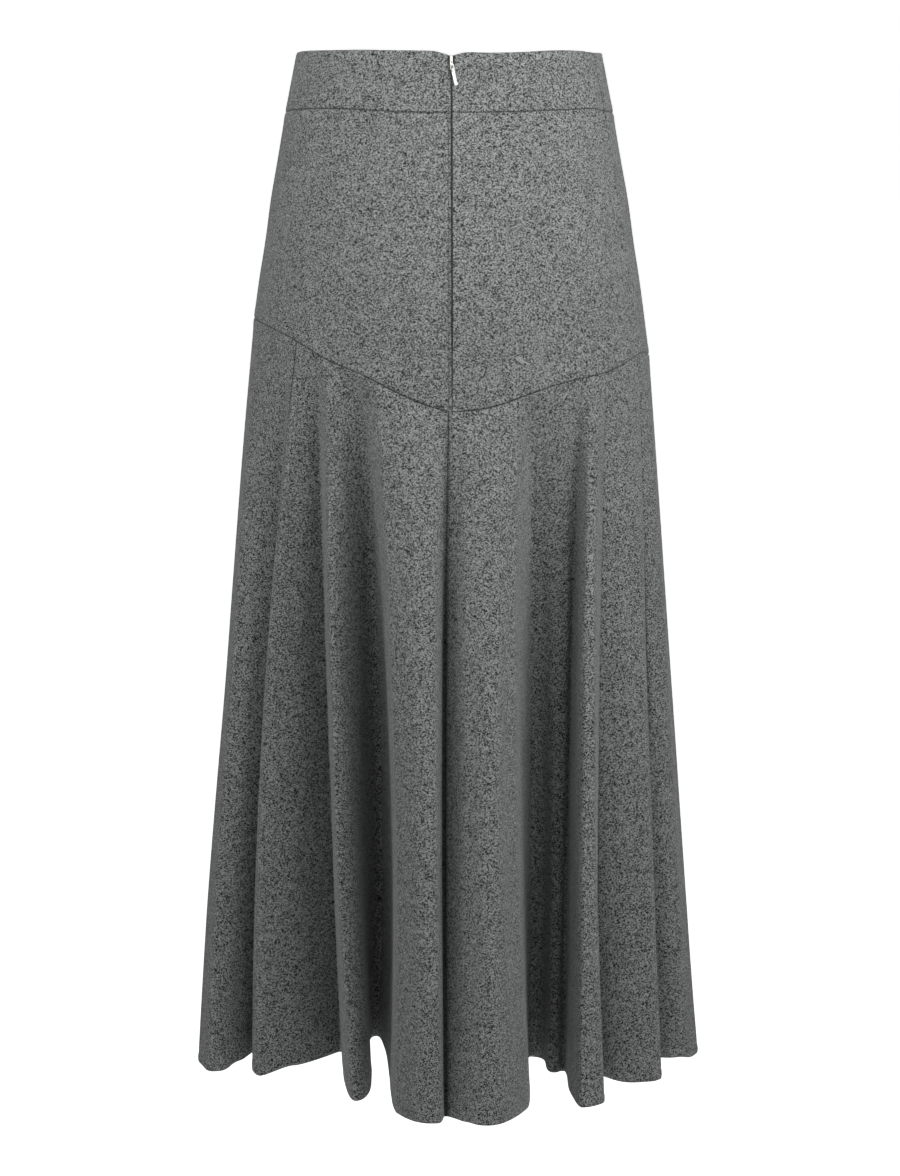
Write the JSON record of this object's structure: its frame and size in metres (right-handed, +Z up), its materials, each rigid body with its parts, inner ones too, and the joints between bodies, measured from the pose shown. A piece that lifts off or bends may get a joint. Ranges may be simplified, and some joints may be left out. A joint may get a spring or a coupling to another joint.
{
  "type": "midi skirt",
  "caption": "Flared midi skirt of grey wool flannel with a fitted hip yoke, a V-shaped back seam, a shaped waistband and a concealed zip at the back, hanging in deep folds.",
  "frame": {"origin": "middle of the waist, level with the top edge of the waistband at the back beside the zip", "axes": "+Z up, +Y towards the wearer's front, so that the back with the zip faces -Y, +X towards the wearer's right when seen from behind, which is the right of the picture"},
  "size_m": [0.4034, 0.3648, 0.8155],
  "materials": {
    "flannel": "melange grey wool flannel, matt and softly napped",
    "zip_tape": "dark grey woven tape",
    "zip_metal": "polished nickel"
  },
  "bodies": {
    "skirt": {"waistband_front": "flannel", "waistband_back_left": "flannel", "waistband_back_right": "flannel", "yoke_front": "flannel", "yoke_back_left": "flannel", "yoke_back_right": "flannel", "flare_front": "flannel", "gore_side_left": "flannel", "gore_side_right": "flannel", "gore_back_left": "flannel", "gore_back_right": "flannel", "zip_tape_left": "zip_tape", "zip_tape_right": "zip_tape", "zip_slider": "zip_metal"},
    "zip_pull": {"zip_tab": "zip_metal"}
  },
  "joints": [
    {"name": "pull_tab_swing", "type": "hinge", "parent": "skirt", "child": "zip_pull", "pos_m": [0.00158, -0.09137, -0.00993], "axis": [-0.9744, -0.0371, -0.2219], "range_deg": [0, 150]}
  ]
}
